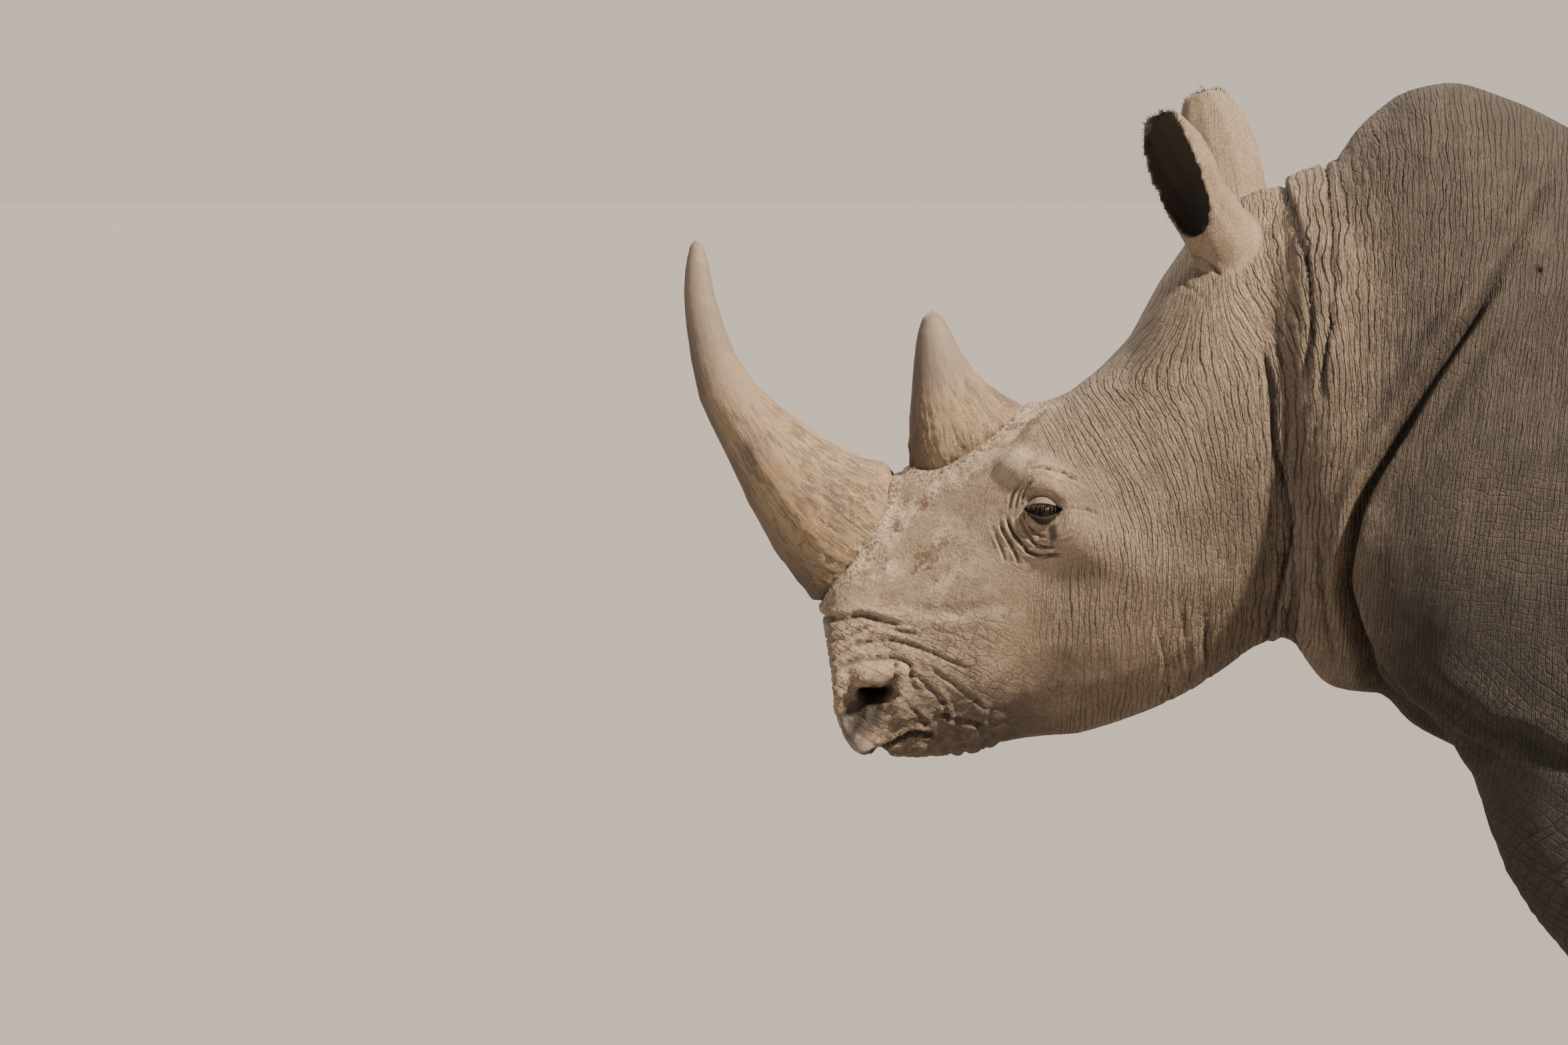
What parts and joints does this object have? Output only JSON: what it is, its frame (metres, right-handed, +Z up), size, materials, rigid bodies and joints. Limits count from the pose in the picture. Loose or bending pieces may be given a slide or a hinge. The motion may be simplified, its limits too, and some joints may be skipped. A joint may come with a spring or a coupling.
{
  "type": "white rhinoceros",
  "caption": "Life-size still model of a standing white rhinoceros with a long curved front horn, a short rear horn and its head held level.",
  "frame": {"origin": "on the floor, under the middle of the whole animal's box", "axes": "+Z up, the head towards -X, the animal's left side towards -Y"},
  "size_m": [3.346, 0.94, 1.75],
  "materials": {
    "hide": "dry, dusty, finely wrinkled grey-brown hide",
    "horn": "worn fibrous keratin, rough at the base and smoother at the tip",
    "eye": "wet, dark brown",
    "nail": "dull horn, dusty"
  },
  "bodies": {
    "root": {"head": "hide", "neck": "hide", "trunk": "hide", "leg_front_left": "hide", "leg_front_right": "hide", "leg_hind_left": "hide", "leg_hind_right": "hide", "tail": "hide", "ear_left": "hide", "ear_right": "hide", "eye_left": "eye", "eye_right": "eye", "horn_front": "horn", "horn_rear": "horn", "nail_front_left_inner": "nail", "nail_front_left_middle": "nail", "nail_front_left_outer": "nail", "nail_front_right_inner": "nail", "nail_front_right_middle": "nail", "nail_front_right_outer": "nail", "nail_hind_left_inner": "nail", "nail_hind_left_middle": "nail", "nail_hind_left_outer": "nail", "nail_hind_right_inner": "nail", "nail_hind_right_middle": "nail", "nail_hind_right_outer": "nail"}
  },
  "joints": []
}
